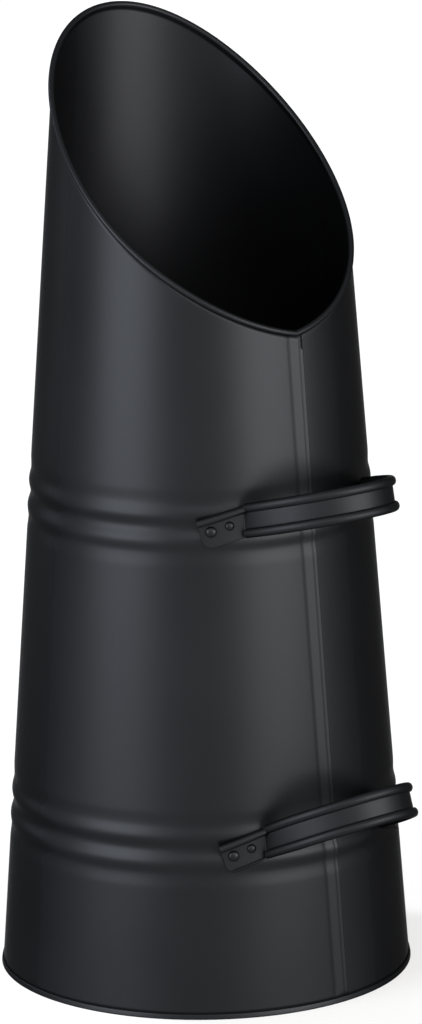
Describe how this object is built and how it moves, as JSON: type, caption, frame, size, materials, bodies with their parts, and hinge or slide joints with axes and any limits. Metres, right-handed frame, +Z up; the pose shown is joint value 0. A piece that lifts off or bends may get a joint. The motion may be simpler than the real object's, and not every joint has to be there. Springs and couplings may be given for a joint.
{
  "type": "coal scuttle",
  "caption": "Tall tapered coal scuttle of matt dark grey sheet steel with a slanting rolled mouth, ridged bands and two riveted strap handles.",
  "frame": {"origin": "on the floor under the middle of the bounding box; the body's axis is at Y = 0.0234 m", "axes": "+Z up along the body's axis, -Y towards the low side of the mouth, where the seam and both handles are, +X to the right as seen from the handles"},
  "size_m": [0.2518, 0.2986, 0.583],
  "materials": {
    "coated_sheet": "matt powder coat",
    "coated_strap": "matt powder coat",
    "coated_rivet": "satin powder coat",
    "steel_wire": "bare drawn wire"
  },
  "bodies": {
    "root": {"body_shell": "coated_sheet", "rim_wire": "steel_wire", "base_pan": "coated_sheet", "upper_handle": "coated_strap", "lower_handle": "coated_strap", "upper_handle_left_outer_rivet": "coated_rivet", "upper_handle_left_inner_rivet": "coated_rivet", "upper_handle_right_outer_rivet": "coated_rivet", "upper_handle_right_inner_rivet": "coated_rivet", "lower_handle_left_outer_rivet": "coated_rivet", "lower_handle_left_inner_rivet": "coated_rivet", "lower_handle_right_outer_rivet": "coated_rivet", "lower_handle_right_inner_rivet": "coated_rivet"}
  },
  "joints": []
}
